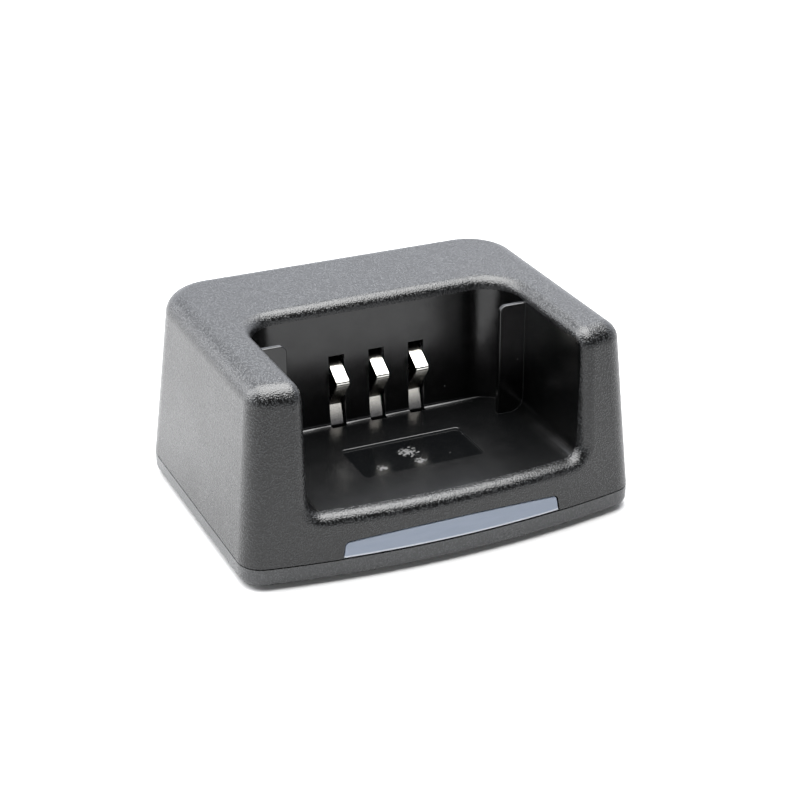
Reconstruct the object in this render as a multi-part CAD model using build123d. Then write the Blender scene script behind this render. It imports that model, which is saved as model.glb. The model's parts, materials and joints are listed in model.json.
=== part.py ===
from build123d import *
import math
import os

os.makedirs("parts", exist_ok=True)

# Desktop charging cradle for a portable radio. Millimetres. +X right, +Y back, +Z up.
# The origin is on the table under the middle of the cradle's box.

# Driving dimensions of the casing
WIDTH = 110.0            # at the seam, where the casing is widest
DEPTH = 87.3             # at the seam, over the bowed front
HEIGHT = 53.3
SEAM_Z = 6.5             # joint between the shell and the base
FRONT_BOW = 6.0          # how far the front's middle stands ahead of its ends
SIDE_LEAN = 4.25         # how far each face leans in from the seam to the top
BACK_LEAN = 3.27
FRONT_LEAN = 2.45
BACK_CORNER = 12.4       # plan radii at the seam
FRONT_CORNER = 6.7
BACK_CORNER_GROWTH = 1.7     # change of the plan radii from the seam to the top
FRONT_CORNER_GROWTH = -0.5
TOP_ROUND = 5.2          # outer top edge
RIM_ROUND = 3.0          # edge of the pocket's mouth
WALL = 2.4
LINER = 2.2              # walls and floor of the pocket
SEAM_GAP = 0.35

# Pocket that the radio stands in
POCKET_HALF = 38.0
POCKET_FLOOR = 18.3
POCKET_BACK = 6.13       # back wall's y at the floor
BACK_TILT = 0.036        # the back wall leans back by this per millimetre of height
POCKET_CORNER = 10.0     # back corners, in plan
FLOOR_CORNER = 4.0       # between floor and side walls
HEEL_ROUND = 1.0         # between floor and back wall
BLADE_REACH = 30.4       # inner edge of each guide blade
BLADE_FRONT = -6.0
BLADE_THICKNESS = 1.5
BLADE_TOP = 50.0
BLADE_ROUND = 2.0
BLADE_EDGE = 0.3
RECESS_HALF = 17.0
RECESS_FRONT = -25.0
RECESS_BACK = -8.5
RECESS_DEPTH = 0.45
RECESS_EDGE = 0.25

# Contacts
CONTACT_PITCH = 11.6
CONTACT_WIDTH = 3.5
CONTACT_THICKNESS = 0.4
CONTACT_Y = 5.9          # where each strip is rooted
HINGE_Z = 13.9           # line that each strip bends about
HINGE_GAP = 0.1          # above and below that line
SLOT_WIDTH = 4.55
SLOT_TOP = 38.5
SLOT_NOTCH = 1.6         # how far each slot runs forward into the floor

# Light bar
BAR_HALF = 30.3          # half width at the seam
BAR_TOP_HALF = 29.6
BAR_END_HEIGHT = 4.2
BAR_MIDDLE_HEIGHT = 5.5
BAR_CORNER = 1.3
BAR_CLEARANCE = 0.25
BAR_EDGE = 0.35
BAR_FLANGE = 1.5

# Base, board and fasteners
BASE_Z = 1.0             # underside of the base; the feet stand below it
BASE_FLOOR = 3.0
BASE_ROUND = 2.1
TONGUE_TOP = 8.0
TONGUE_GAP = 0.35        # between the base's tongue and the shell's wall
TONGUE_WALL = 1.2
LEDGE_HEIGHT = 1.5
FOOT_RADIUS = 5.0
FOOT_RECESS = 0.6
FOOT_PLACES = {
    "front_left": (-43.5, -29.5),
    "front_right": (43.5, -29.5),
    "rear_left": (-42.0, 32.0),
    "rear_right": (42.0, 32.0),
}
HOUSING_SCREWS = [(x, y) for x in (-46.5, 46.5) for y in (-18.0, 20.0)]
HOUSING_SCREW = {"length": 11.0, "shank_radius": 1.22, "head_radius": 2.8, "head_height": 2.0}
BOARD_SCREW = {"length": 5.0, "shank_radius": 0.92, "head_radius": 2.1, "head_height": 1.4}
BLOCK_SCREW = {"length": 4.6, "shank_radius": 0.92, "head_radius": 1.9, "head_height": 1.2}
THREAD_GAP = 0.03        # between a screw's shank and its pilot hole
PASSAGE = 0.38           # between a screw and a hole that it passes through
HOUSING_HEAD_SEAT = 4.0
BOSS_JOINT = 7.0         # where the shell's bosses meet the base's posts
BOSS_TOP = 24.0
BOSS_RADIUS = 3.5
POST_RADIUS = 4.6
PILOT_TOP = 17.0
BOARD_POST_RADIUS = 3.0
BOARD_HALF = 39.5
BOARD_FRONT = -35.0
BOARD_BACK = 39.0
BOARD_Z = 7.5
BOARD_TOP = 9.1
BOARD_SCREWS = [(x, y) for x in (-35.5, 35.5) for y in (-29.0, 33.0)]
LABEL_SIZE = (46.0, 26.0)
LABEL_RECESS = 0.3
LABEL_THICKNESS = 0.2
LABEL_MARGIN = 0.3

# Carrier block under the contacts
BLOCK_HALF = 19.5
BLOCK_FRONT = 3.0
BLOCK_BACK = 9.6
BLOCK_TOP = 13.6
BLOCK_SCREWS = [(x, 6.3) for x in (-16.7, 16.7)]

# Power inlet
INLET_Z = 15.5           # socket axis
INLET_FACE = 40.2        # mouth of the socket
INLET_LENGTH = 14.0
INLET_HALF = 4.5
INLET_TOP = 19.9
SOCKET_RADIUS = 3.2
SOCKET_DEPTH = 10.0
PIN_RADIUS = 1.0
PIN_LENGTH = 9.4
PIN_ROOT = 1.5           # thicker root of the pin, moulded into the body
PIN_ROOT_RADIUS = 1.4
INLET_OPENING = 5.4
INLET_LEGS = [(0.0, 27.4, 2.6, 0.8), (0.0, 33.4, 2.6, 0.8), (-3.4, 30.4, 0.8, 2.6)]

# Board components. Chips: x, y, length, width, height
CHIPS = {
    "rectifier_diode": (27.0, 20.0, 4.4, 2.6, 2.2),
    "fuse": (27.0, 28.0, 4.6, 3.2, 1.1),
    "status_led_left": (-15.0, -32.6, 3.5, 2.8, 1.9),
    "status_led_right": (15.0, -32.6, 3.5, 2.8, 1.9),
}
# Rows of chips: x of the first, y, count, pitch, then the size of one
CHIP_ROWS = {
    "chip_resistors": (-6.0, -22.0, 8, 3.2, (1.6, 0.8, 0.5)),
    "chip_capacitors": (14.0, -4.0, 6, 3.4, (2.0, 1.25, 0.9)),
}
# Electrolytic cans: x, y, radius, height
CANS = {
    "input_capacitor": (-15.0, 30.0, 5.0, 13.0),
    "output_capacitor": (17.0, 27.0, 4.0, 11.5),
}
CONTROLLER = (8.0, -12.0)
CONTROLLER_LENGTH = 9.9
CONTROLLER_WIDTH = 3.9
CONTROLLER_HEIGHT = 1.5
LEAD_PITCH = 1.27
LEAD_WIDTH = 0.42
LEAD_THICKNESS = 0.2

POINTS = {"left": -CONTACT_PITCH, "middle": 0.0, "right": CONTACT_PITCH}
BOW_ANGLE = 2 * math.atan(FRONT_BOW / (WIDTH / 2))


def block(x_span, y_span, z_span):
    """Box given by its lowest and highest values along each axis."""
    size = [high - low for low, high in (x_span, y_span, z_span)]
    low = [span[0] for span in (x_span, y_span, z_span)]
    return Pos(*low) * Box(*size, align=(Align.MIN, Align.MIN, Align.MIN))


def rod(x, y, radius, z_low, z_high):
    """Upright cylinder."""
    return Pos(x, y, z_low) * Cylinder(radius, z_high - z_low, align=(Align.CENTER, Align.CENTER, Align.MIN))


def rod_y(x, z, radius, y_low, y_high):
    """Cylinder along Y."""
    middle = (y_low + y_high) / 2
    return Pos(x, middle, z) * Rot(90, 0, 0) * Cylinder(radius, y_high - y_low)


def plan(z, inset=0.0):
    """Casing outline at height z: straight back and sides, bowed front, moved in by inset."""
    rise = (z - SEAM_Z) / (HEIGHT - SEAM_Z)
    half = WIDTH / 2 - SIDE_LEAN * rise - inset
    back = DEPTH / 2 - BACK_LEAN * rise - inset
    shoulder = FRONT_BOW - DEPTH / 2 + FRONT_LEAN * rise + inset
    bow = half * math.tan(BOW_ANGLE / 2)
    with BuildSketch(Plane.XY.offset(z)) as sketch:
        with BuildLine():
            Polyline((half, shoulder), (half, back), (-half, back), (-half, shoulder))
            ThreePointArc((-half, shoulder), (0, shoulder - bow), (half, shoulder))
        make_face()
        fillet(sketch.vertices().sort_by(Axis.Y)[-2:], BACK_CORNER + BACK_CORNER_GROWTH * rise - inset)
        fillet(sketch.vertices().sort_by(Axis.Y)[:2], FRONT_CORNER + FRONT_CORNER_GROWTH * rise - inset)
    return sketch.sketch


def casing(inset, z_low, z_high):
    """Solid of the leaning casing between two heights, moved in by inset."""
    return loft([plan(z_low, inset), plan(z_high, inset)], ruled=True)


def back_wall(z):
    """Where the pocket's back wall is at height z."""
    return POCKET_BACK + BACK_TILT * (z - POCKET_FLOOR)


def upright(inset, z_low, z_high):
    """Straight-sided solid on the casing's outline at the seam, moved in by inset."""
    return Pos(0, 0, z_low - SEAM_Z) * extrude(plan(SEAM_Z, inset), amount=z_high - z_low)


def pocket_plan(z, grow):
    """Pocket outline at height z, running out through the front."""
    half = POCKET_HALF + grow
    back = back_wall(z) + grow
    with BuildSketch(Plane.XY.offset(z)) as sketch:
        with BuildLine():
            Polyline((half, -DEPTH), (half, back), (-half, back), (-half, -DEPTH), close=True)
        make_face()
        fillet(sketch.vertices().sort_by(Axis.Y)[-2:], POCKET_CORNER + grow)
    return sketch.sketch


def pocket_space(grow=0.0):
    """Room for the radio, open to the front and the top; grow adds a wall around it."""
    half = POCKET_HALF + grow
    floor = POCKET_FLOOR - grow
    with BuildSketch(Plane.XZ.offset(-DEPTH)) as sketch:
        with BuildLine():
            Polyline((half, 2 * HEIGHT), (half, floor), (-half, floor), (-half, 2 * HEIGHT), close=True)
        make_face()
        fillet(sketch.vertices().sort_by(Axis.Y)[:2], FLOOR_CORNER + grow)
    trough = extrude(sketch.sketch, amount=2 * DEPTH)

    top = 2 * HEIGHT
    with BuildSketch(Plane.YZ.offset(-WIDTH / 2)) as sketch:
        with BuildLine():
            corner = (back_wall(floor) + grow, floor)
            Polyline((-DEPTH, floor), corner, (back_wall(top) + grow, top), (-DEPTH, top), close=True)
        make_face()
        fillet(sketch.vertices().sort_by(Axis.X)[-2:].sort_by(Axis.Y)[0], HEEL_ROUND + grow)
    heel = extrude(sketch.sketch, amount=WIDTH)
    return trough & heel & loft([pocket_plan(0, grow), pocket_plan(top, grow)], ruled=True)


def bar_profile(grow=0.0):
    """Front view of the light bar, run through the front wall: flat on the seam, shallow arch on top."""
    foot = BAR_HALF + grow
    shoulder = BAR_TOP_HALF + grow
    shoulder_z = SEAM_Z + BAR_END_HEIGHT + grow
    crown_z = SEAM_Z + BAR_MIDDLE_HEIGHT + grow
    with BuildSketch(Plane.XZ.offset(DEPTH / 4)) as sketch:
        with BuildLine():
            Polyline((-shoulder, shoulder_z), (-foot, SEAM_Z), (foot, SEAM_Z), (shoulder, shoulder_z))
            ThreePointArc((shoulder, shoulder_z), (0, crown_z), (-shoulder, shoulder_z))
        make_face()
        fillet(sketch.vertices().sort_by(Axis.Y)[-2:], BAR_CORNER + grow)
    return extrude(sketch.sketch, amount=DEPTH / 2)


def guide_blade():
    """Thin upright fin on the right side wall that keeps the radio's battery in line."""
    fin = block(
        (BLADE_REACH, POCKET_HALF + LINER / 2),
        (BLADE_FRONT, BLADE_FRONT + BLADE_THICKNESS),
        (POCKET_FLOOR - LINER / 2, BLADE_TOP),
    )
    tip = fin.edges().filter_by(Axis.Y).sort_by(lambda edge: edge.center().Z - edge.center().X)[-1]
    fin = fillet(tip, BLADE_ROUND)
    edges = [edge for face in fin.faces().filter_by(Axis.Y) for edge in face.edges()]
    return fillet([edge for edge in edges if edge.center().X < POCKET_HALF], BLADE_EDGE)


def screw_boss(x, y):
    """Boss for a housing screw, with a rib out to the side wall."""
    rib_half = 0.8
    rib_low = TONGUE_TOP + 0.5
    reach = (x, WIDTH / 2) if x > 0 else (-WIDTH / 2, x)
    return rod(x, y, BOSS_RADIUS, BOSS_JOINT, BOSS_TOP) + block(
        reach, (y - rib_half, y + rib_half), (rib_low, BOSS_TOP)
    )


def make_upper_shell():
    outer = casing(0, SEAM_Z, HEIGHT)
    outer = fillet(outer.faces().sort_by(Axis.Z)[-1].edges(), TOP_ROUND)
    pocket = pocket_space()
    shell = outer - pocket
    shell = fillet(new_edges(outer, pocket, combined=shell), RIM_ROUND)

    cavity = casing(WALL, SEAM_Z, HEIGHT - WALL)
    cavity = fillet(cavity.faces().sort_by(Axis.Z)[-1].edges(), TOP_ROUND - WALL)
    shell -= cavity - pocket_space(LINER)

    blade = guide_blade()
    shell += [blade, mirror(blade, Plane.YZ)]
    bosses = [screw_boss(x, y) & casing(WALL / 2, SEAM_Z, HEIGHT - WALL) for x, y in HOUSING_SCREWS]
    shell += bosses

    pilot = HOUSING_SCREW["shank_radius"] + THREAD_GAP
    shell -= [rod(x, y, pilot, SEAM_Z, PILOT_TOP) for x, y in HOUSING_SCREWS]
    slot_depth = (POCKET_BACK - SLOT_NOTCH, POCKET_BACK + 2 * LINER)
    for x in POINTS.values():
        slot_width = (x - SLOT_WIDTH / 2, x + SLOT_WIDTH / 2)
        shell -= block(slot_width, slot_depth, (POCKET_FLOOR - 2 * LINER, SLOT_TOP))

    recess = block(
        (-RECESS_HALF, RECESS_HALF),
        (RECESS_FRONT, RECESS_BACK),
        (POCKET_FLOOR - RECESS_DEPTH, POCKET_FLOOR + 1),
    )
    recess = fillet(recess.edges().filter_by(Axis.Z), 1.0)
    flat_floor = shell
    shell = flat_floor - recess
    cut_edges = new_edges(flat_floor, recess, combined=shell)
    shell = fillet([edge for edge in cut_edges if edge.center().Z > POCKET_FLOOR - RECESS_EDGE], RECESS_EDGE)
    shell -= bar_profile(BAR_CLEARANCE)
    shell -= rod_y(0, INLET_Z, INLET_OPENING, INLET_FACE - WALL, DEPTH / 2 + 1)
    return shell


def make_light_bar():
    """Window that fills the wall, with a flange behind it that stops it falling out."""
    window_set_back = 0.1
    flange_gap = 0.05
    window = casing(window_set_back, SEAM_Z, HEIGHT) - casing(WALL + flange_gap, SEAM_Z - 1, HEIGHT)
    window &= bar_profile()
    flange = casing(WALL + flange_gap, SEAM_Z, HEIGHT) - casing(WALL + 1.2, SEAM_Z - 1, HEIGHT)
    flange &= bar_profile(BAR_FLANGE)
    front = window.faces().sort_by(Axis.Y)[0]
    return fillet(front.edges(), BAR_EDGE) + flange


def make_base_cover():
    rim_top = SEAM_Z - SEAM_GAP
    outer = upright(0, BASE_Z, rim_top)
    outer = fillet(outer.faces().sort_by(Axis.Z)[0].edges(), BASE_ROUND)
    base = outer - upright(WALL, BASE_FLOOR, HEIGHT)

    tongue_inset = WALL + TONGUE_GAP
    tongue_low = BASE_Z + 1
    tongue_outer = upright(tongue_inset, tongue_low, TONGUE_TOP)
    tongue_inner = upright(tongue_inset + TONGUE_WALL, BASE_FLOOR, HEIGHT)
    ledge = upright(WALL - 0.2, BASE_FLOOR, BASE_FLOOR + LEDGE_HEIGHT)
    base += (tongue_outer + ledge) - tongue_inner
    bar_room = BAR_HALF + BAR_FLANGE + 1
    base -= block((-bar_room, bar_room), (-DEPTH / 2, BOARD_FRONT - 0.5), (rim_top, HEIGHT))

    base += [rod(x, y, POST_RADIUS, BASE_FLOOR - 1, BOSS_JOINT) for x, y in HOUSING_SCREWS]
    base += [rod(x, y, BOARD_POST_RADIUS, BASE_FLOOR - 1, BOARD_Z) for x, y in BOARD_SCREWS]
    head_hole = HOUSING_SCREW["head_radius"] + PASSAGE
    shank_hole = HOUSING_SCREW["shank_radius"] + PASSAGE
    for x, y in HOUSING_SCREWS:
        base -= [rod(x, y, head_hole, 0, HOUSING_HEAD_SEAT), rod(x, y, shank_hole, 0, BOSS_JOINT + 1)]
    pilot = BOARD_SCREW["shank_radius"] + THREAD_GAP
    pilot_low = BOARD_TOP - BOARD_SCREW["length"] - 0.5
    base -= [rod(x, y, pilot, pilot_low, BOARD_TOP) for x, y in BOARD_SCREWS]
    base -= [rod(x, y, FOOT_RADIUS + 0.1, 0, BASE_Z + FOOT_RECESS) for x, y in FOOT_PLACES.values()]
    half_x, half_y = [length / 2 + LABEL_MARGIN for length in LABEL_SIZE]
    base -= block((-half_x, half_x), (-half_y, half_y), (0, BASE_Z + LABEL_RECESS))
    return base


def make_foot(x, y):
    foot = rod(x, y, FOOT_RADIUS, 0, BASE_Z + FOOT_RECESS)
    return fillet(foot.edges().sort_by(Axis.Z)[0], 0.3)


def make_rating_label():
    half_x, half_y = [length / 2 for length in LABEL_SIZE]
    top = BASE_Z + LABEL_RECESS
    label = block((-half_x, half_x), (-half_y, half_y), (top - LABEL_THICKNESS, top))
    return fillet(label.edges().filter_by(Axis.Z), 1.5)


def screw(x, y, head_face, up, length, shank_radius, head_radius, head_height):
    """Pan-head screw with a cross recess. Its shank runs up or down from head_face."""
    shank = rod(0, 0, shank_radius, 0, length)
    shank = chamfer(shank.edges().sort_by(Axis.Z)[-1], shank_radius / 2)
    head = rod(0, 0, head_radius, -head_height, 0)
    head = fillet(head.edges().sort_by(Axis.Z)[0], head_height * 0.45)
    arm = head_radius * 0.55
    slot_half = head_radius * 0.12
    recess = (-head_height, -head_height * 0.45)
    cross = block((-arm, arm), (-slot_half, slot_half), recess)
    cross += block((-slot_half, slot_half), (-arm, arm), recess)
    body = head + shank - cross
    return Pos(x, y, head_face) * (body if up else Rot(180, 0, 0) * body)


def make_housing_screws():
    return Compound([screw(x, y, HOUSING_HEAD_SEAT, True, **HOUSING_SCREW) for x, y in HOUSING_SCREWS])


def make_board_screws():
    return Compound([screw(x, y, BOARD_TOP, False, **BOARD_SCREW) for x, y in BOARD_SCREWS])


def make_block_screws():
    return Compound([screw(x, y, BOARD_Z, True, **BLOCK_SCREW) for x, y in BLOCK_SCREWS])


def make_circuit_board():
    board = block((-BOARD_HALF, BOARD_HALF), (BOARD_FRONT, BOARD_BACK), (BOARD_Z, BOARD_TOP))
    board = fillet(board.edges().filter_by(Axis.Z), 2.0)
    screw_hole = BOARD_SCREW["shank_radius"] + PASSAGE
    pad_hole = 0.8
    holes = [(x, y, screw_hole) for x, y in BOARD_SCREWS + BLOCK_SCREWS]
    holes += [(x, CONTACT_Y, pad_hole) for x in POINTS.values()]
    board -= [rod(x, y, radius, BOARD_Z - 1, BOARD_TOP + 1) for x, y, radius in holes]
    board -= [leg(*place, grow=0.15) for place in INLET_LEGS]
    return board


def make_contact_block():
    """Moulded carrier that holds the three strips upright on the board."""
    carrier = block((-BLOCK_HALF, BLOCK_HALF), (BLOCK_FRONT, BLOCK_BACK), (BOARD_TOP, BLOCK_TOP))
    carrier = chamfer(carrier.faces().sort_by(Axis.Z)[-1].edges(), 0.5)
    for x in POINTS.values():
        carrier -= strip_box(x, BOARD_TOP - 1, BLOCK_TOP + 1, 0.05)
    pilot = BLOCK_SCREW["shank_radius"] + THREAD_GAP
    pilot_top = BOARD_Z + BLOCK_SCREW["length"] + 0.5
    carrier -= [rod(x, y, pilot, BOARD_TOP - 1, pilot_top) for x, y in BLOCK_SCREWS]
    return carrier


def strip_box(x, z_low, z_high, grow=0.0):
    """Straight upright length of contact strip."""
    half = CONTACT_WIDTH / 2 + grow
    thin = CONTACT_THICKNESS / 2 + grow
    return block((x - half, x + half), (CONTACT_Y - thin, CONTACT_Y + thin), (z_low, z_high))


def make_contact_tail(x):
    """Fixed end of a contact: it is held by the carrier and soldered through the board."""
    pin_half = 0.5
    thin = CONTACT_THICKNESS / 2
    thickness = (CONTACT_Y - thin, CONTACT_Y + thin)
    pin = block((x - pin_half, x + pin_half), thickness, (BOARD_Z - 1, BOARD_TOP + 1))
    return strip_box(x, BOARD_TOP, HINGE_Z - HINGE_GAP) + pin


def make_contact_spring(x):
    """Bent strip: it leans back, folds forward to its nose and runs back through the slot."""
    root = (CONTACT_Y, HINGE_Z + HINGE_GAP)
    fold = (8.45, 23.9)
    nose = (2.1, 32.1)
    mouth = (7.6, 35.4)
    tip = (10.7, 36.7)
    path = FilletPolyline(*[(x, y, z) for y, z in (root, fold, nose, mouth, tip)], radius=[0.8, 0.9, 2.0])
    start = Plane(origin=path @ 0, x_dir=(1, 0, 0), z_dir=path % 0)
    return sweep(start * Rectangle(CONTACT_WIDTH, CONTACT_THICKNESS), path)


def leg(x, y, length_x, length_y, grow=0.0):
    """Solder leg of the inlet: a flat blade through the board."""
    half_x = length_x / 2 + grow
    half_y = length_y / 2 + grow
    low = BOARD_Z - 1.2 - grow
    return block((x - half_x, x + half_x), (y - half_y, y + half_y), (low, BOARD_TOP + grow))


def make_inlet_terminals():
    return Compound([leg(*place) for place in INLET_LEGS])


def make_inlet_body():
    body = block((-INLET_HALF, INLET_HALF), (INLET_FACE - INLET_LENGTH, INLET_FACE), (BOARD_TOP, INLET_TOP))
    body = chamfer(body.edges().filter_by(Axis.Y).sort_by(Axis.Z)[-2:], 1.2)
    body -= rod_y(0, INLET_Z, SOCKET_RADIUS, INLET_FACE - SOCKET_DEPTH, INLET_FACE + 1)
    body -= rod_y(0, INLET_Z, PIN_ROOT_RADIUS + THREAD_GAP, INLET_FACE - SOCKET_DEPTH - PIN_ROOT, INLET_FACE)
    return body


def make_inlet_pin():
    root = INLET_FACE - SOCKET_DEPTH
    pin = chamfer(rod_y(0, INLET_Z, PIN_RADIUS, root, root + PIN_LENGTH).edges().sort_by(Axis.Y)[-1], 0.3)
    return pin + rod_y(0, INLET_Z, PIN_ROOT_RADIUS, root - PIN_ROOT, root)


def chip(x, y, length, width, height, round_radius=0.0):
    """Flat board component standing on the board."""
    body = block(
        (x - length / 2, x + length / 2),
        (y - width / 2, y + width / 2),
        (BOARD_TOP, BOARD_TOP + height),
    )
    return fillet(body.edges().filter_by(Axis.Z), round_radius) if round_radius else body


def make_inductor():
    """Square ferrite core with a ring groove in its top."""
    x, y = -28.0, 20.0
    side = 12.0
    height = 7.0
    groove_low = BOARD_TOP + height - 0.8
    groove = rod(x, y, 5.0, groove_low, BOARD_TOP + height) - rod(x, y, 4.2, groove_low, BOARD_TOP + height)
    return chip(x, y, side, side, height, 2.5) - groove


def capacitor(x, y, radius, height):
    """Electrolytic can with a rolled groove near its foot."""
    can = fillet(rod(x, y, radius, BOARD_TOP, BOARD_TOP + height).edges().sort_by(Axis.Z)[-1], 0.6)
    groove_low = BOARD_TOP + 1.8
    groove_high = groove_low + 0.7
    groove = rod(x, y, radius + 1, groove_low, groove_high) - rod(x, y, radius - 0.35, groove_low, groove_high)
    return can - groove


def make_controller():
    x, y = CONTROLLER
    lift = 0.15
    return Pos(0, 0, lift) * chip(x, y, CONTROLLER_LENGTH, CONTROLLER_WIDTH, CONTROLLER_HEIGHT)


def make_controller_leads():
    """Sixteen gull-wing leads, eight along each side."""
    x, y = CONTROLLER
    side = CONTROLLER_WIDTH / 2
    knee = side + 0.5
    toe = side + 1.1
    shoulder_z = BOARD_TOP + 0.8
    width = (-LEAD_WIDTH / 2, LEAD_WIDTH / 2)
    lead = block(width, (side, knee), (shoulder_z, shoulder_z + LEAD_THICKNESS))
    lead += block(width, (knee - LEAD_THICKNESS, knee), (BOARD_TOP, shoulder_z))
    lead += block(width, (knee - LEAD_THICKNESS, toe), (BOARD_TOP, BOARD_TOP + LEAD_THICKNESS))
    leads = []
    per_side = 8
    for place in range(per_side):
        along = x + (place - (per_side - 1) / 2) * LEAD_PITCH
        leads += [Pos(along, y, 0) * lead, Pos(along, y, 0) * mirror(lead, Plane.XZ)]
    return Compound(leads)


def make_transistor():
    """Power transistor with its heat tab on the board."""
    x, y = -20.0, -12.0
    length, width, height = 6.5, 6.1, 2.3
    tab = chip(x, y + width / 2 + 0.35, length - 1.1, 1.6, 0.5)
    return tab + chip(x, y, length, width, height)


def chip_row(x, y, count, pitch, size):
    return Compound([chip(x + pitch * place, y, *size) for place in range(count)])


def make_pieces():
    """Every piece of the cradle, by name."""
    pieces = {
        "upper_shell": make_upper_shell(),
        "light_bar": make_light_bar(),
        "base_cover": make_base_cover(),
        "rating_label": make_rating_label(),
        "housing_screws": make_housing_screws(),
        "circuit_board": make_circuit_board(),
        "board_screws": make_board_screws(),
        "contact_block": make_contact_block(),
        "contact_block_screws": make_block_screws(),
        "dc_jack_body": make_inlet_body(),
        "dc_jack_pin": make_inlet_pin(),
        "dc_jack_terminals": make_inlet_terminals(),
        "power_inductor": make_inductor(),
        "charge_controller": make_controller(),
        "charge_controller_leads": make_controller_leads(),
        "power_transistor": make_transistor(),
    }
    for name, place in CHIPS.items():
        pieces[name] = chip(*place)
    for name, row in CHIP_ROWS.items():
        pieces[name] = chip_row(*row)
    for name, can in CANS.items():
        pieces[name] = capacitor(*can)
    for place, (x, y) in FOOT_PLACES.items():
        pieces[f"rubber_foot_{place}"] = make_foot(x, y)
    for side, x in POINTS.items():
        pieces[f"contact_spring_{side}"] = make_contact_spring(x)
        pieces[f"contact_tail_{side}"] = make_contact_tail(x)
    return pieces


for name, shape in make_pieces().items():
    export_step(shape, f"parts/{name}.step")
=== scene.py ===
import json
import math

import bpy
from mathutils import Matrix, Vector


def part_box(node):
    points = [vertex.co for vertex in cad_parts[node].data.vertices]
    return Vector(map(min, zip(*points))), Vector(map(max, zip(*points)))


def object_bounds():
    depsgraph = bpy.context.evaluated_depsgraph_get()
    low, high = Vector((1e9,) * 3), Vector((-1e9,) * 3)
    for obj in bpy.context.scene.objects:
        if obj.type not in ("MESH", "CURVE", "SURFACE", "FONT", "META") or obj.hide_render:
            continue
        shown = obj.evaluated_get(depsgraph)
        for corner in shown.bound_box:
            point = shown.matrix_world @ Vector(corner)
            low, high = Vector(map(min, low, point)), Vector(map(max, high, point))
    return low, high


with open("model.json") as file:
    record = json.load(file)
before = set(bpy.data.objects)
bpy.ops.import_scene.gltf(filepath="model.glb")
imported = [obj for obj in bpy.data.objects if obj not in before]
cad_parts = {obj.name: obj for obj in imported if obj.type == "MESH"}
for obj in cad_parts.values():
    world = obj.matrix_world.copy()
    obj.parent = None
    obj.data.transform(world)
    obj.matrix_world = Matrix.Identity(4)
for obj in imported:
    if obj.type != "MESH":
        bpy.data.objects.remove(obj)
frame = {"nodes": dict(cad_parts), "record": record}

# Desktop charging cradle for a portable radio. Metres, in the CAD frame: +X right, +Y back, +Z up.
CAD_LOW, CAD_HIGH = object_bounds()
MM = 0.001

# Shape of the casing that its material follows
MOUNTS = {mount["name"]: Vector(mount["pos_m"]) for mount in frame["record"]["mounts"]}
FLOOR_Z = MOUNTS["pocket_floor"].z
SEAM_Z = 6.5 * MM
HALF_WIDTH = (CAD_HIGH.x - CAD_LOW.x) / 2
POCKET_HALF = 38.0 * MM
BACK_WALL_Y = 6.13 * MM         # at the pocket's floor
BACK_WALL_TILT = 0.036
FRONT_BOW = 6.0 * MM
LIP_ROUND = 4.6 * MM            # from the foot of the front to the inner edge of the lip
RIM_ROUND = 3.0 * MM            # edge of the pocket's mouth
RECESS_DEPTH = 0.45 * MM
MASK_FADE = 0.3 * MM            # width over which one finish gives way to another

# Finish of the moulded casing
GRAIN = 0.48 * MM               # width of a pebble
GRAIN_DEPTH = 0.09 * MM
WEAR_AND_HIGHLIGHT_EDGE = 0.35 * MM           # edges sharper than this radius are painted paler: partly rubbed wear, partly a painted highlight
SCUFFS = (                      # x and y of each scuff in the recess, and its reach
    (-0.8 * MM, -15.5 * MM, 3.6 * MM),
    (0.1 * MM, -21.2 * MM, 2.3 * MM),
    (-10.8 * MM, -21.0 * MM, 1.9 * MM),
)


def make_camera():
    """Long lens, low and from the front left, aimed a little right of the cradle's middle."""
    azimuth = math.radians(-24.42)
    elevation = math.radians(25.60)
    distance = 526.97 * MM
    target = Vector((5.25, 3.0, 23.68)) * MM
    back = Vector((
        math.sin(azimuth) * math.cos(elevation),
        -math.cos(azimuth) * math.cos(elevation),
        math.sin(elevation),
    ))
    data = bpy.data.cameras.new("camera")
    data.sensor_width = 36.0
    data.lens = 87.70
    data.clip_start = 0.01
    camera = bpy.data.objects.new("camera", data)
    camera.location = target + back * distance
    camera.rotation_mode = "QUATERNION"
    camera.rotation_quaternion = (-back).to_track_quat("-Z", "Y")
    bpy.context.scene.collection.objects.link(camera)
    bpy.context.scene.camera = camera


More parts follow.
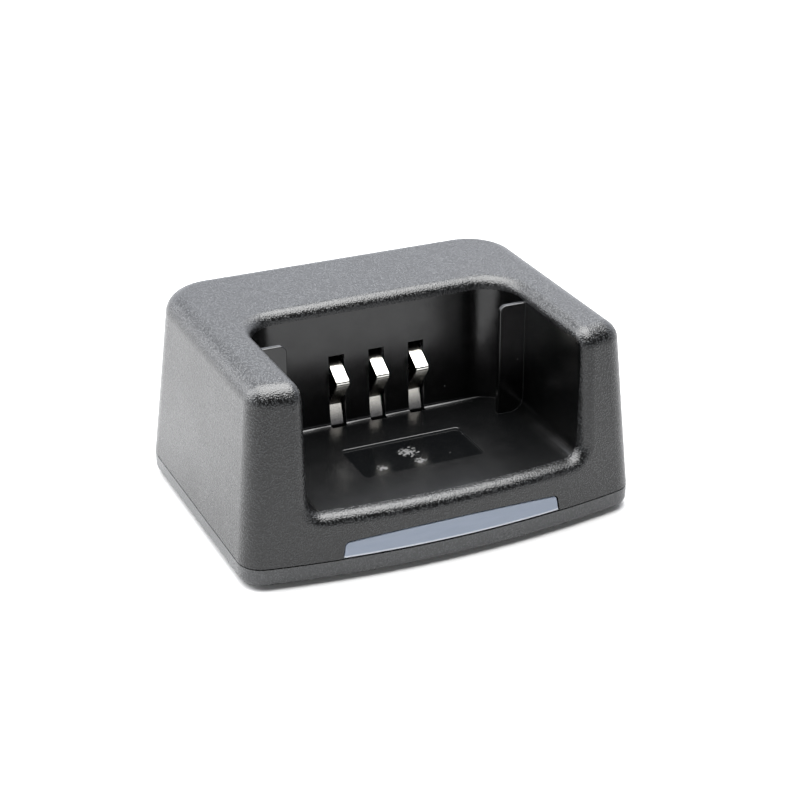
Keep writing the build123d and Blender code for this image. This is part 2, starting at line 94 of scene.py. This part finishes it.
class Graph:
    """Wires the nodes of one material or world."""

    def __init__(self, owner):
        owner.use_nodes = True
        self.tree = owner.node_tree

    def node(self, kind, inputs=None, **settings):
        """Adds a node. inputs maps a socket's name or index to a value or to another node's output."""
        made = self.tree.nodes.new(kind)
        for name, value in settings.items():
            setattr(made, name, value)
        for key, value in (inputs or {}).items():
            self.feed(made.inputs[key], value)
        return made

    def feed(self, socket, value):
        """Links another node's output to the socket, or else sets the socket's value."""
        if isinstance(value, bpy.types.NodeSocket):
            self.tree.links.new(value, socket)
        else:
            socket.default_value = value

    def math(self, operation, first, second=0.0, third=0.0):
        """Result of one Math node."""
        inputs = {0: first, 1: second, 2: third}
        return self.node("ShaderNodeMath", inputs, operation=operation).outputs[0]

    def smooth(self, value, low, high, start=0.0, end=1.0):
        """Goes smoothly from start to end as value goes from low to high."""
        inputs = {"Value": value, 1: low, 2: high, 3: start, 4: end}
        made = self.node("ShaderNodeMapRange", inputs, interpolation_type="SMOOTHSTEP")
        return made.outputs["Result"]

    def mix(self, share, first, second):
        """Colour between first and second."""
        made = self.node("ShaderNodeMix", data_type="RGBA")
        self.feed(made.inputs["Factor"], share)
        self.feed(made.inputs["A"], first)
        self.feed(made.inputs["B"], second)
        return made.outputs["Result"]

    def noise(self, place, size, detail=2.0, roughness=0.5):
        """Noise from 0 to 1 whose features are about size across."""
        inputs = {"Vector": place, "Scale": 1 / size, "Detail": detail, "Roughness": roughness}
        return self.node("ShaderNodeTexNoise", inputs).outputs["Fac"]

    def bump(self, height, distance, strength=1.0, normal=None):
        """Normal of a surface raised by height times distance."""
        made = self.node("ShaderNodeBump", {"Height": height, "Distance": distance, "Strength": strength})
        if normal is not None:
            self.feed(made.inputs["Normal"], normal)
        return made.outputs["Normal"]

    def blend(self, share, first, second):
        """Number between first and second."""
        inputs = {"Factor": share, "A": first, "B": second}
        return self.node("ShaderNodeMix", inputs).outputs["Result"]

    def all_of(self, *shares):
        """Product of masks."""
        product = shares[0]
        for share in shares[1:]:
            product = self.math("MULTIPLY", product, share)
        return product

    def within(self, value, low, high, edge):
        """1 between low and high, falling to 0 over edge outside them."""
        above = self.smooth(value, low - edge, low)
        below = self.smooth(value, high, high + edge, 1.0, 0.0)
        return self.all_of(above, below)

    def cells(self, place, size, **settings):
        """Voronoi cells about size across."""
        return self.node("ShaderNodeTexVoronoi", {"Vector": place, "Scale": 1 / size}, **settings)


class Surface(Graph):
    """A material with a Principled shader, placed by the object's own coordinates."""

    def __init__(self, name):
        self.material = bpy.data.materials.new(name)
        super().__init__(self.material)
        self.shader = self.tree.nodes["Principled BSDF"]
        self.place = self.node("ShaderNodeTexCoord").outputs["Object"]
        axes = self.node("ShaderNodeSeparateXYZ", {0: self.place})
        self.x, self.y, self.z = (axes.outputs[axis] for axis in "XYZ")
        self.normal = None

    def set(self, **values):
        """Feeds the shader's sockets. Base_Color stands for the socket named Base Color."""
        for name, value in values.items():
            self.feed(self.shader.inputs[name.replace("_", " ")], value)

    def raise_by(self, height, distance, strength=1.0):
        """Adds a bump on top of the ones already there."""
        self.normal = self.bump(height, distance, strength, self.normal)
        self.set(Normal=self.normal)

    def stretched(self, x, y, z):
        """Object coordinates with each axis scaled, which draws noise out along the small ones."""
        scaled = self.node("ShaderNodeVectorMath", {0: self.place, 1: (x, y, z)}, operation="MULTIPLY")
        return scaled.outputs["Vector"]

    def distance(self, point):
        """Distance from a point, in the object's own coordinates."""
        inputs = {0: self.place, 1: point}
        return self.node("ShaderNodeVectorMath", inputs, operation="DISTANCE").outputs["Value"]

    def edge(self, radius):
        """1 on edges sharper than radius, 0 on flat and gently curved faces."""
        rounded = self.node("ShaderNodeBevel", {"Radius": radius}, samples=6).outputs["Normal"]
        true = self.node("ShaderNodeNewGeometry").outputs["Normal"]
        match = self.node("ShaderNodeVectorMath", {0: rounded, 1: true}, operation="DOT_PRODUCT")
        return self.smooth(match.outputs["Value"], 0.85, 0.97, 1.0, 0.0)

    def specks(self, spacing, radius, share):
        """Scattered dots, in that share of the cells."""
        cell = self.cells(self.place, spacing)
        near = self.smooth(cell.outputs["Distance"], 0.6 * radius / spacing, radius / spacing, 1.0, 0.0)
        chosen = self.node("ShaderNodeSeparateColor", {0: cell.outputs["Color"]}).outputs["Red"]
        return self.all_of(near, self.math("LESS_THAN", chosen, share))

    def pebbles(self, size):
        """Height from 0 to 1 of a spark-eroded grain: packed pebbles about size across."""
        pebble = self.smooth(self.cells(self.place, size).outputs["Distance"], 0.1, 0.7, 1.0, 0.0)
        return self.blend(0.4, pebble, self.noise(self.place, 0.7 * size, 1.0))

    def mottle(self, colours, patch):
        """Colour that goes between two in patches."""
        return self.mix(self.noise(self.place, patch, 3.0), *colours)

    def smears(self, smear, low, high):
        """Roughness that goes from low to high over the middle of a noise."""
        return self.smooth(smear, 0.3, 0.7, low, high)

    def skin(self, patch, roughness, grain, height):
        """Smeared roughness over a fine grain."""
        self.set(Roughness=self.smears(self.noise(self.place, patch, 3.0), *roughness))
        self.raise_by(self.noise(self.place, grain, 2.0), height)

    def finish(self, colours, patch, roughness, grain, height):
        """A mottled colour with smears a third as wide, over a fine grain."""
        self.set(Base_Color=self.mottle(colours, patch))
        self.skin(patch / 3, roughness, grain, height)


def tint(value, blue=0.0):
    """Linear grey, bluer as blue grows."""
    return (value * (1 - blue), value, value * (1 + blue), 1.0)


def make_world():
    """White backdrop behind, beside and low in front, a dim ceiling, a dark room behind the camera."""
    room_strength = 0.06
    backdrop_strength = 2.0
    ceiling_share = 0.25
    world = bpy.data.worlds.new("studio")
    bpy.context.scene.world = world
    graph = Graph(world)
    direction = graph.node("ShaderNodeTexCoord").outputs["Generated"]
    axes = graph.node("ShaderNodeSeparateXYZ", {0: direction}).outputs
    behind = graph.smooth(axes["Y"], -0.45, 0.3)
    horizon = graph.smooth(axes["Z"], 0.04, 0.18, 0.7, 0.0)
    lit = graph.math("MAXIMUM", behind, horizon)
    wall = graph.smooth(lit, 0.0, 1.0, room_strength, backdrop_strength)
    overhead = graph.smooth(axes["Z"], 0.6, 0.85)
    ceiling = graph.smooth(overhead, 0.0, 1.0, 1.0, ceiling_share)
    background = world.node_tree.nodes["Background"]
    graph.feed(background.inputs["Color"], (0.95, 0.98, 1.05, 1.0))
    graph.feed(background.inputs["Strength"], graph.math("MULTIPLY", wall, ceiling))


def make_softbox(name, place, aim, size, radiance):
    """Rectangular area light that the camera doesn't see."""
    data = bpy.data.lights.new(name, "AREA")
    data.shape = "RECTANGLE"
    data.size, data.size_y = size
    data.energy = radiance * math.pi * size[0] * size[1]
    light = bpy.data.objects.new(name, data)
    light.location = place
    light.rotation_mode = "QUATERNION"
    light.rotation_quaternion = (Vector(aim) - Vector(place)).to_track_quat("-Z", "Y")
    light.visible_camera = False
    bpy.context.scene.collection.objects.link(light)


def make_floor():
    """White sweep that glows far from the cradle, as a sheet lit from behind does."""
    reach = 4.0
    dim_within = 0.25
    bright_beyond = 0.60
    mesh = bpy.data.meshes.new("floor")
    corners = [(-reach, -reach, 0), (reach, -reach, 0), (reach, reach, 0), (-reach, reach, 0)]
    mesh.from_pydata(corners, [], [(0, 1, 2, 3)])
    floor = bpy.data.objects.new("floor", mesh)
    bpy.context.scene.collection.objects.link(floor)
    surface = Surface("floor")
    away = surface.node("ShaderNodeVectorMath", {0: surface.place}, operation="LENGTH").outputs["Value"]
    surface.set(Base_Color=tint(0.44), Roughness=0.6, Emission_Color=tint(1.0))
    surface.set(Emission_Strength=surface.smooth(away, dim_within, bright_beyond, 0.06, 0.80))
    mesh.materials.append(surface.material)


def pocket_share(surface):
    """1 on the smooth walls and floor of the pocket, 0 on the textured casing."""
    wall = surface.math("MULTIPLY_ADD", surface.z, BACK_WALL_TILT, BACK_WALL_Y - BACK_WALL_TILT * FLOOR_Z)
    behind_wall = surface.math("SUBTRACT", surface.y, wall)
    across = surface.math("ABSOLUTE", surface.x)
    bow = surface.math("MULTIPLY", surface.math("POWER", surface.x, 2.0), FRONT_BOW / HALF_WIDTH ** 2)
    lip = surface.math("ADD", bow, CAD_LOW.y + LIP_ROUND)
    behind_lip = surface.math("SUBTRACT", surface.y, lip)
    near = 0.1 * MM
    under_recess = FLOOR_Z - RECESS_DEPTH - 0.05 * MM
    under_rim = CAD_HIGH.z - RIM_ROUND
    return surface.all_of(
        surface.smooth(across, POCKET_HALF + near, POCKET_HALF + near + MASK_FADE, 1.0, 0.0),
        surface.smooth(behind_wall, near, near + MASK_FADE, 1.0, 0.0),
        surface.smooth(surface.z, under_recess - 0.2 * MM, under_recess),
        surface.smooth(behind_lip, 0.0, MASK_FADE),
        surface.smooth(surface.z, under_rim - MASK_FADE, under_rim, 1.0, 0.0),
    )


def recess_share(surface):
    """1 on the floor of the shallow recess in the pocket's floor."""
    low = FLOOR_Z - RECESS_DEPTH
    return surface.within(surface.z, low - 0.1 * MM, low + 0.05 * MM, 0.1 * MM)


def scuffs(surface):
    """Pale scraped spots in the recess."""
    ragged = surface.smooth(surface.noise(surface.place, 1.0 * MM, 4.0, 0.75), 0.38, 0.62)
    total = 0.0
    for x, y, reach in SCUFFS:
        away = surface.math("DIVIDE", surface.distance((x, y, FLOOR_Z)), reach)
        near = surface.math("SUBTRACT", 1.0, away)
        spot = surface.smooth(surface.math("MULTIPLY_ADD", near, 1.3, ragged), 1.05, 1.35)
        total = surface.math("MAXIMUM", total, spot)
    return total


class CasingZones:
    """Masks of the casing's finishes, each 1 where it holds."""

    def __init__(self, surface):
        self.pocket = pocket_share(surface)
        self.grained = surface.math("SUBTRACT", 1.0, self.pocket)
        self.recess = surface.all_of(self.pocket, recess_share(surface))
        level = surface.smooth(surface.z, FLOOR_Z, FLOOR_Z + 0.4 * MM, 1.0, 0.0)
        self.floor = surface.math("SUBTRACT", surface.all_of(self.pocket, level), self.recess)
        self.marks = surface.all_of(self.recess, scuffs(surface))
        self.dust = surface.all_of(surface.specks(4 * MM, 0.13 * MM, 0.35), self.pocket)


def casing_colour(surface, zones, grain):
    """Black, greyer on top of each pebble, in the recess, on sharp edges (rubbed wear plus a painted
    highlight), and on dust and scuffs.
    """
    outside = surface.mix(surface.smooth(grain, 0.3, 0.75), tint(0.0, 0.06), tint(0.017, 0.06))
    walls = surface.mix(zones.recess, tint(0.0005, 0.1), tint(0.0015, 0.12))
    inside = surface.mix(zones.floor, walls, tint(0.001, 0.12))
    colour = surface.mix(zones.pocket, outside, inside)
    # sharp edges painted paler: partly rubbed wear, partly a painted highlight along them
    colour = surface.mix(surface.edge(WEAR_AND_HIGHLIGHT_EDGE), colour, tint(0.02, 0.03))
    colour = surface.mix(surface.math("MULTIPLY", zones.dust, 0.5), colour, tint(0.30))
    scraped = surface.mottle((tint(0.0), tint(0.13)), 0.5 * MM)
    return surface.mix(zones.marks, colour, scraped)


def casing_roughness(surface, zones, grain):
    """Satin grain outside, semi-gloss walls, a satin pocket floor with a polished recess."""
    cloud = surface.noise(surface.place, 14 * MM, 3.0)
    pebbled = surface.smooth(grain, 0.3, 0.75, 0.28, 0.21)
    outside = surface.math("ADD", surface.smears(cloud, 0.0, 0.04), pebbled)
    smear = surface.noise(surface.place, 5 * MM, 4.0, 0.6)
    walls = surface.smears(smear, 0.19, 0.24)
    satin = surface.smears(smear, 0.24, 0.27)
    polished = surface.smears(smear, 0.14, 0.18)
    inside = surface.blend(zones.recess, surface.blend(zones.floor, walls, satin), polished)
    return surface.math("MULTIPLY_ADD", zones.marks, 0.25, surface.blend(zones.pocket, outside, inside))


def moulded_casing():
    """Black plastic with a spark-eroded grain outside and a smooth semi-gloss pocket."""
    surface = Surface("shell_plastic")
    zones = CasingZones(surface)
    grain = surface.pebbles(GRAIN)
    surface.set(Base_Color=casing_colour(surface, zones, grain))
    surface.set(Roughness=casing_roughness(surface, zones, grain))
    sink = surface.noise(surface.place, 11 * MM, 1.0)
    frost = surface.noise(surface.place, 0.3 * MM, 1.0)
    scrapes = surface.noise(surface.place, 0.4 * MM, 2.0)
    surface.raise_by(grain, GRAIN_DEPTH, zones.grained)
    surface.raise_by(sink, 0.08 * MM, zones.pocket)
    surface.raise_by(frost, 0.006 * MM, zones.floor)
    surface.raise_by(scrapes, 0.25 * MM, zones.marks)
    return surface.material


def base_moulding():
    """The same grained plastic as the shell, painted greyer than it to stand in for the brighter floor
    light that the base catches, scuffed on its lower edge.
    """
    surface = Surface("base_plastic")
    wear_and_highlight_grey = tint(0.05)
    grain = surface.pebbles(GRAIN)
    # painted lighter than the shell's plastic: stands in for the brighter floor light on the base
    colour = surface.mix(surface.smooth(grain, 0.3, 0.75), tint(0.029, 0.04), tint(0.056, 0.04))
    low = surface.smooth(surface.z, CAD_LOW.z + 1.2 * MM, CAD_LOW.z + 3.0 * MM, 1.0, 0.0)
    rubbed = surface.smooth(surface.noise(surface.place, 1.5 * MM, 4.0, 0.7), 0.55, 0.70)
    colour = surface.mix(surface.all_of(low, rubbed), colour, wear_and_highlight_grey)
    # sharp edges painted paler: partly rubbed wear, partly a painted highlight
    surface.set(Base_Color=surface.mix(surface.edge(WEAR_AND_HIGHLIGHT_EDGE), colour, wear_and_highlight_grey))
    surface.set(Roughness=surface.smears(surface.noise(surface.place, 12 * MM, 3.0), 0.26, 0.33))
    surface.raise_by(grain, GRAIN_DEPTH)
    return surface.material


def bar_lens():
    """Frosted, faintly blue diffuser, with a painted highlight along its lower edge and on its sharp
    edges, and soft streaks from its moulding.
    """
    surface = Surface("bar_lens")
    streak = surface.noise(surface.stretched(0.15, 1.0, 1.0), 1.2 * MM, 2.0)
    colour = surface.mix(streak, (0.150, 0.180, 0.228, 1.0), (0.190, 0.218, 0.272, 1.0))
    # painted highlight: a pale band along the lens's lower edge
    low = surface.smooth(surface.z, SEAM_Z + 0.2 * MM, SEAM_Z + 0.8 * MM, 1.0, 0.0)
    colour = surface.mix(low, colour, (0.50, 0.52, 0.56, 1.0))
    # painted highlight on the lens's sharp edges
    surface.set(Base_Color=surface.mix(surface.edge(0.3 * MM), colour, (0.52, 0.54, 0.58, 1.0)))
    surface.set(Roughness=surface.smears(streak, 0.30, 0.40))
    surface.raise_by(surface.noise(surface.place, 0.25 * MM, 2.0), 0.01 * MM)
    surface.raise_by(surface.noise(surface.place, 4 * MM), 0.05 * MM)
    return surface.material


def label_print(surface):
    """1 on the ink of the label: a frame just inside its border, and short ruled lines."""
    border = 1.3 * MM
    line = 0.3 * MM
    blur = 0.05 * MM
    rule_pitch = 2.6 * MM
    rule_margin = 4.0 * MM
    low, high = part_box("rating_label")
    middle = (low + high) / 2
    half = (high - low) / 2
    across = surface.math("ABSOLUTE", surface.math("SUBTRACT", surface.x, middle.x))
    depth = surface.math("SUBTRACT", surface.y, middle.y)
    along = surface.math("ABSOLUTE", depth)
    frame_x = surface.within(across, half.x - border - line, half.x - border, blur)
    frame_y = surface.within(along, half.y - border - line, half.y - border, blur)
    inside_x = surface.smooth(across, half.x - border - blur, half.x - border, 1.0, 0.0)
    inside_y = surface.smooth(along, half.y - border - blur, half.y - border, 1.0, 0.0)
    rule = surface.math("PINGPONG", surface.math("ADD", depth, half.y), rule_pitch)
    rules = surface.smooth(rule, 0.10 * MM, 0.16 * MM, 1.0, 0.0)
    short = surface.smooth(across, half.x - rule_margin, half.x - rule_margin + 0.1 * MM, 1.0, 0.0)
    sides = surface.all_of(frame_x, inside_y)
    ends = surface.all_of(frame_y, inside_x)
    lines = surface.all_of(rules, short, inside_y)
    return surface.math("MAXIMUM", surface.math("MAXIMUM", sides, ends), lines)


def label_film():
    """Satin silver film with a printed frame and ruled lines, and no lettering."""
    surface = Surface("label_film")
    fade = surface.noise(surface.place, 3 * MM, 3.0)
    film = surface.mix(fade, tint(0.34), tint(0.42))
    surface.set(Base_Color=surface.mix(label_print(surface), film, tint(0.03)), Metallic=0.35)
    surface.set(Roughness=surface.smears(fade, 0.30, 0.42))
    surface.raise_by(surface.noise(surface.place, 2 * MM, 2.0), 0.02 * MM)
    return surface.material


def screw_steel():
    """Blackened steel, bright where the driver and the hole have rubbed its edges."""
    surface = Surface("screw_steel")
    surface.skin(0.5 * MM, (0.30, 0.45), 0.12 * MM, 0.01 * MM)
    black = surface.mottle((tint(0.05), tint(0.10)), 1.0 * MM)
    surface.set(Base_Color=surface.mix(surface.edge(0.15 * MM), black, tint(0.50)), Metallic=1.0)
    return surface.material


def board_laminate():
    """Green solder mask over copper tracks, tinned pads, and bare glass laminate at the board's edges."""
    surface = Surface("board_laminate")
    corner = surface.cells(surface.place, 5.5 * MM, feature="DISTANCE_TO_EDGE").outputs["Distance"]
    track = surface.within(surface.math("PINGPONG", corner, 0.09), 0.02, 0.05, 0.006)
    mask = surface.mix(track, (0.006, 0.075, 0.028, 1.0), (0.014, 0.140, 0.050, 1.0))
    pads = surface.specks(4.5 * MM, 0.55 * MM, 0.4)
    colour = surface.mix(pads, mask, tint(0.55, -0.02))
    normal = surface.node("ShaderNodeNewGeometry").outputs["Normal"]
    upright = surface.node("ShaderNodeSeparateXYZ", {0: normal}).outputs["Z"]
    side = surface.smooth(surface.math("ABSOLUTE", upright), 0.4, 0.6, 1.0, 0.0)
    fibre = surface.noise(surface.stretched(1.0, 1.0, 6.0), 0.6 * MM, 2.0)
    laminate = surface.mix(fibre, (0.30, 0.24, 0.12, 1.0), (0.46, 0.38, 0.20, 1.0))
    surface.set(Base_Color=surface.mix(side, colour, laminate))
    surface.set(Roughness=surface.blend(side, surface.smears(fibre, 0.22, 0.32), 0.7))
    surface.raise_by(track, 0.03 * MM)
    return surface.material


def block_plastic():
    """Dull black moulding of the contacts' carrier."""
    surface = Surface("block_plastic")
    surface.finish((tint(0.010), tint(0.018)), 5 * MM, (0.35, 0.50), 0.25 * MM, 0.02 * MM)
    return surface.material


def jack_plastic():
    """Glossy black moulding with the faint sink marks of a small part."""
    surface = Surface("jack_plastic")
    surface.finish((tint(0.004), tint(0.009)), 4 * MM, (0.16, 0.30), 0.5 * MM, 0.01 * MM)
    surface.raise_by(surface.noise(surface.place, 3 * MM), 0.06 * MM)
    return surface.material


def tinned_metal():
    """Tin plating: bright, with the dull mottling that it gets as it ages."""
    surface = Surface("tinned_metal")
    spangle = surface.cells(surface.place, 0.5 * MM).outputs["Distance"]
    dull = surface.noise(surface.place, 0.8 * MM, 3.0)
    surface.set(Base_Color=surface.mix(dull, tint(0.52), tint(0.68)), Metallic=1.0)
    surface.set(Roughness=surface.smears(dull, 0.20, 0.42))
    surface.raise_by(spangle, 0.01 * MM)
    return surface.material


def nickel_strip():
    """Nickel-plated spring strip: paler over its nose and the face above it, partly wiped wear and partly
    a painted highlight, with a painted shade just below the nose, and darker towards its foot.
    """
    surface = Surface("nickel_strip")
    nose_z = 32.1 * MM
    foot_fade_top_z = FLOOR_Z + 6.5 * MM
    fade = 1.5 * MM
    streak = surface.noise(surface.stretched(1.0, 0.1, 0.06), 0.16 * MM, 3.0, 0.6)
    stain = surface.noise(surface.place, 1.6 * MM, 4.0, 0.65)
    plating = surface.mix(stain, (0.50, 0.47, 0.41, 1.0), (0.74, 0.71, 0.64, 1.0))
    # darker towards the strip's foot
    above_foot = surface.smooth(surface.z, FLOOR_Z, foot_fade_top_z)
    plating = surface.mix(above_foot, (0.12, 0.115, 0.11, 1.0), plating)
    # painted shade on the stretch of strip between its foot and its nose
    painted_shade_under_nose = surface.within(surface.z, foot_fade_top_z + 1.0 * MM, foot_fade_top_z + 4.0 * MM, fade)
    plating = surface.mix(surface.math("MULTIPLY", painted_shade_under_nose, 0.6), plating, (0.15, 0.14, 0.12, 1.0))
    # paler over the nose and the face above it: partly wiped wear, partly a painted highlight
    nose = surface.within(surface.z, nose_z - fade, nose_z + 2 * fade, fade)
    plating = surface.mix(nose, plating, (0.86, 0.84, 0.78, 1.0))
    pits = surface.specks(0.9 * MM, 0.14 * MM, 0.4)
    surface.set(Base_Color=surface.mix(pits, plating, (0.20, 0.17, 0.12, 1.0)), Metallic=1.0)
    surface.set(Roughness=surface.smooth(streak, 0.25, 0.75, 0.20, 0.26))
    surface.raise_by(streak, 0.001 * MM)
    surface.raise_by(surface.noise(surface.place, 0.9 * MM, 2.0), 0.04 * MM)
    return surface.material


def ferrite():
    """Dark grey sintered core, dull and slightly pitted."""
    surface = Surface("ferrite")
    surface.finish((tint(0.020), tint(0.040)), 2 * MM, (0.55, 0.75), 0.15 * MM, 0.03 * MM)
    return surface.material


def can_aluminium():
    """Drawn aluminium, with fine lines round the can."""
    surface = Surface("can_aluminium")
    drawn = surface.noise(surface.stretched(0.1, 0.1, 1.0), 0.12 * MM, 2.0)
    surface.set(Base_Color=surface.mix(drawn, tint(0.48), tint(0.62)), Metallic=1.0)
    surface.set(Roughness=surface.smears(drawn, 0.25, 0.38))
    surface.raise_by(drawn, 0.008 * MM)
    return surface.material


def chip_black():
    """Matt black resin of moulded chips."""
    surface = Surface("chip_black")
    surface.finish((tint(0.010), tint(0.018)), 1.5 * MM, (0.55, 0.70), 0.10 * MM, 0.01 * MM)
    return surface.material


def fuse_body():
    """Cream ceramic."""
    surface = Surface("fuse_body")
    surface.finish((tint(0.48, -0.06), tint(0.60, -0.06)), 1.2 * MM, (0.35, 0.50), 0.10 * MM, 0.01 * MM)
    return surface.material


def ceramic_chip():
    """Brown ceramic of chip capacitors."""
    surface = Surface("ceramic_chip")
    colours = ((0.21, 0.13, 0.06, 1.0), (0.30, 0.20, 0.10, 1.0))
    surface.finish(colours, 0.8 * MM, (0.35, 0.50), 0.08 * MM, 0.008 * MM)
    return surface.material


def led_resin():
    """Pale yellow, glossy lamp resin."""
    surface = Surface("led_resin")
    colours = ((0.62, 0.58, 0.36, 1.0), (0.78, 0.75, 0.52, 1.0))
    surface.finish(colours, 0.8 * MM, (0.10, 0.22), 0.3 * MM, 0.01 * MM)
    return surface.material


def foot_rubber():
    """Matt black rubber with dust pressed into it."""
    surface = Surface("foot_rubber")
    surface.skin(1 * MM, (0.70, 0.90), 0.25 * MM, 0.04 * MM)
    rubber = surface.mottle((tint(0.012), tint(0.022)), 3 * MM)
    dusty = surface.smooth(surface.noise(surface.place, 0.5 * MM, 4.0, 0.7), 0.52, 0.70)
    surface.set(Base_Color=surface.mix(dusty, rubber, tint(0.06)))
    return surface.material


MATERIALS = {
    "shell_plastic": moulded_casing,
    "base_plastic": base_moulding,
    "bar_lens": bar_lens,
    "label_film": label_film,
    "screw_steel": screw_steel,
    "board_laminate": board_laminate,
    "block_plastic": block_plastic,
    "jack_plastic": jack_plastic,
    "tinned_metal": tinned_metal,
    "nickel_strip": nickel_strip,
    "ferrite": ferrite,
    "can_aluminium": can_aluminium,
    "chip_black": chip_black,
    "fuse_body": fuse_body,
    "ceramic_chip": ceramic_chip,
    "led_resin": led_resin,
    "foot_rubber": foot_rubber,
}


def paint_nodes():
    """Gives each CAD node the material of its slot in the record."""
    made = {slot: make() for slot, make in MATERIALS.items()}
    for part in frame["record"]["subparts"]:
        mesh = frame["nodes"][part["node"]].data
        mesh.materials.clear()
        mesh.materials.append(made[part["material_slot"]])


make_camera()
make_world()
make_softbox(
    "overhead",
    place=(-0.03, 0.03, 0.45),
    aim=(-0.03, 0.03, 0.0),
    size=(0.63, 0.56),
    radiance=11.5,
)
make_softbox(
    "left_card",
    place=(-0.45, 0.30, 0.30),
    aim=(-0.10, 0.05, 0.0),
    size=(0.40, 0.35),
    radiance=8.0,
)
make_floor()
bpy.context.scene.view_settings.view_transform = "Standard"
paint_nodes()
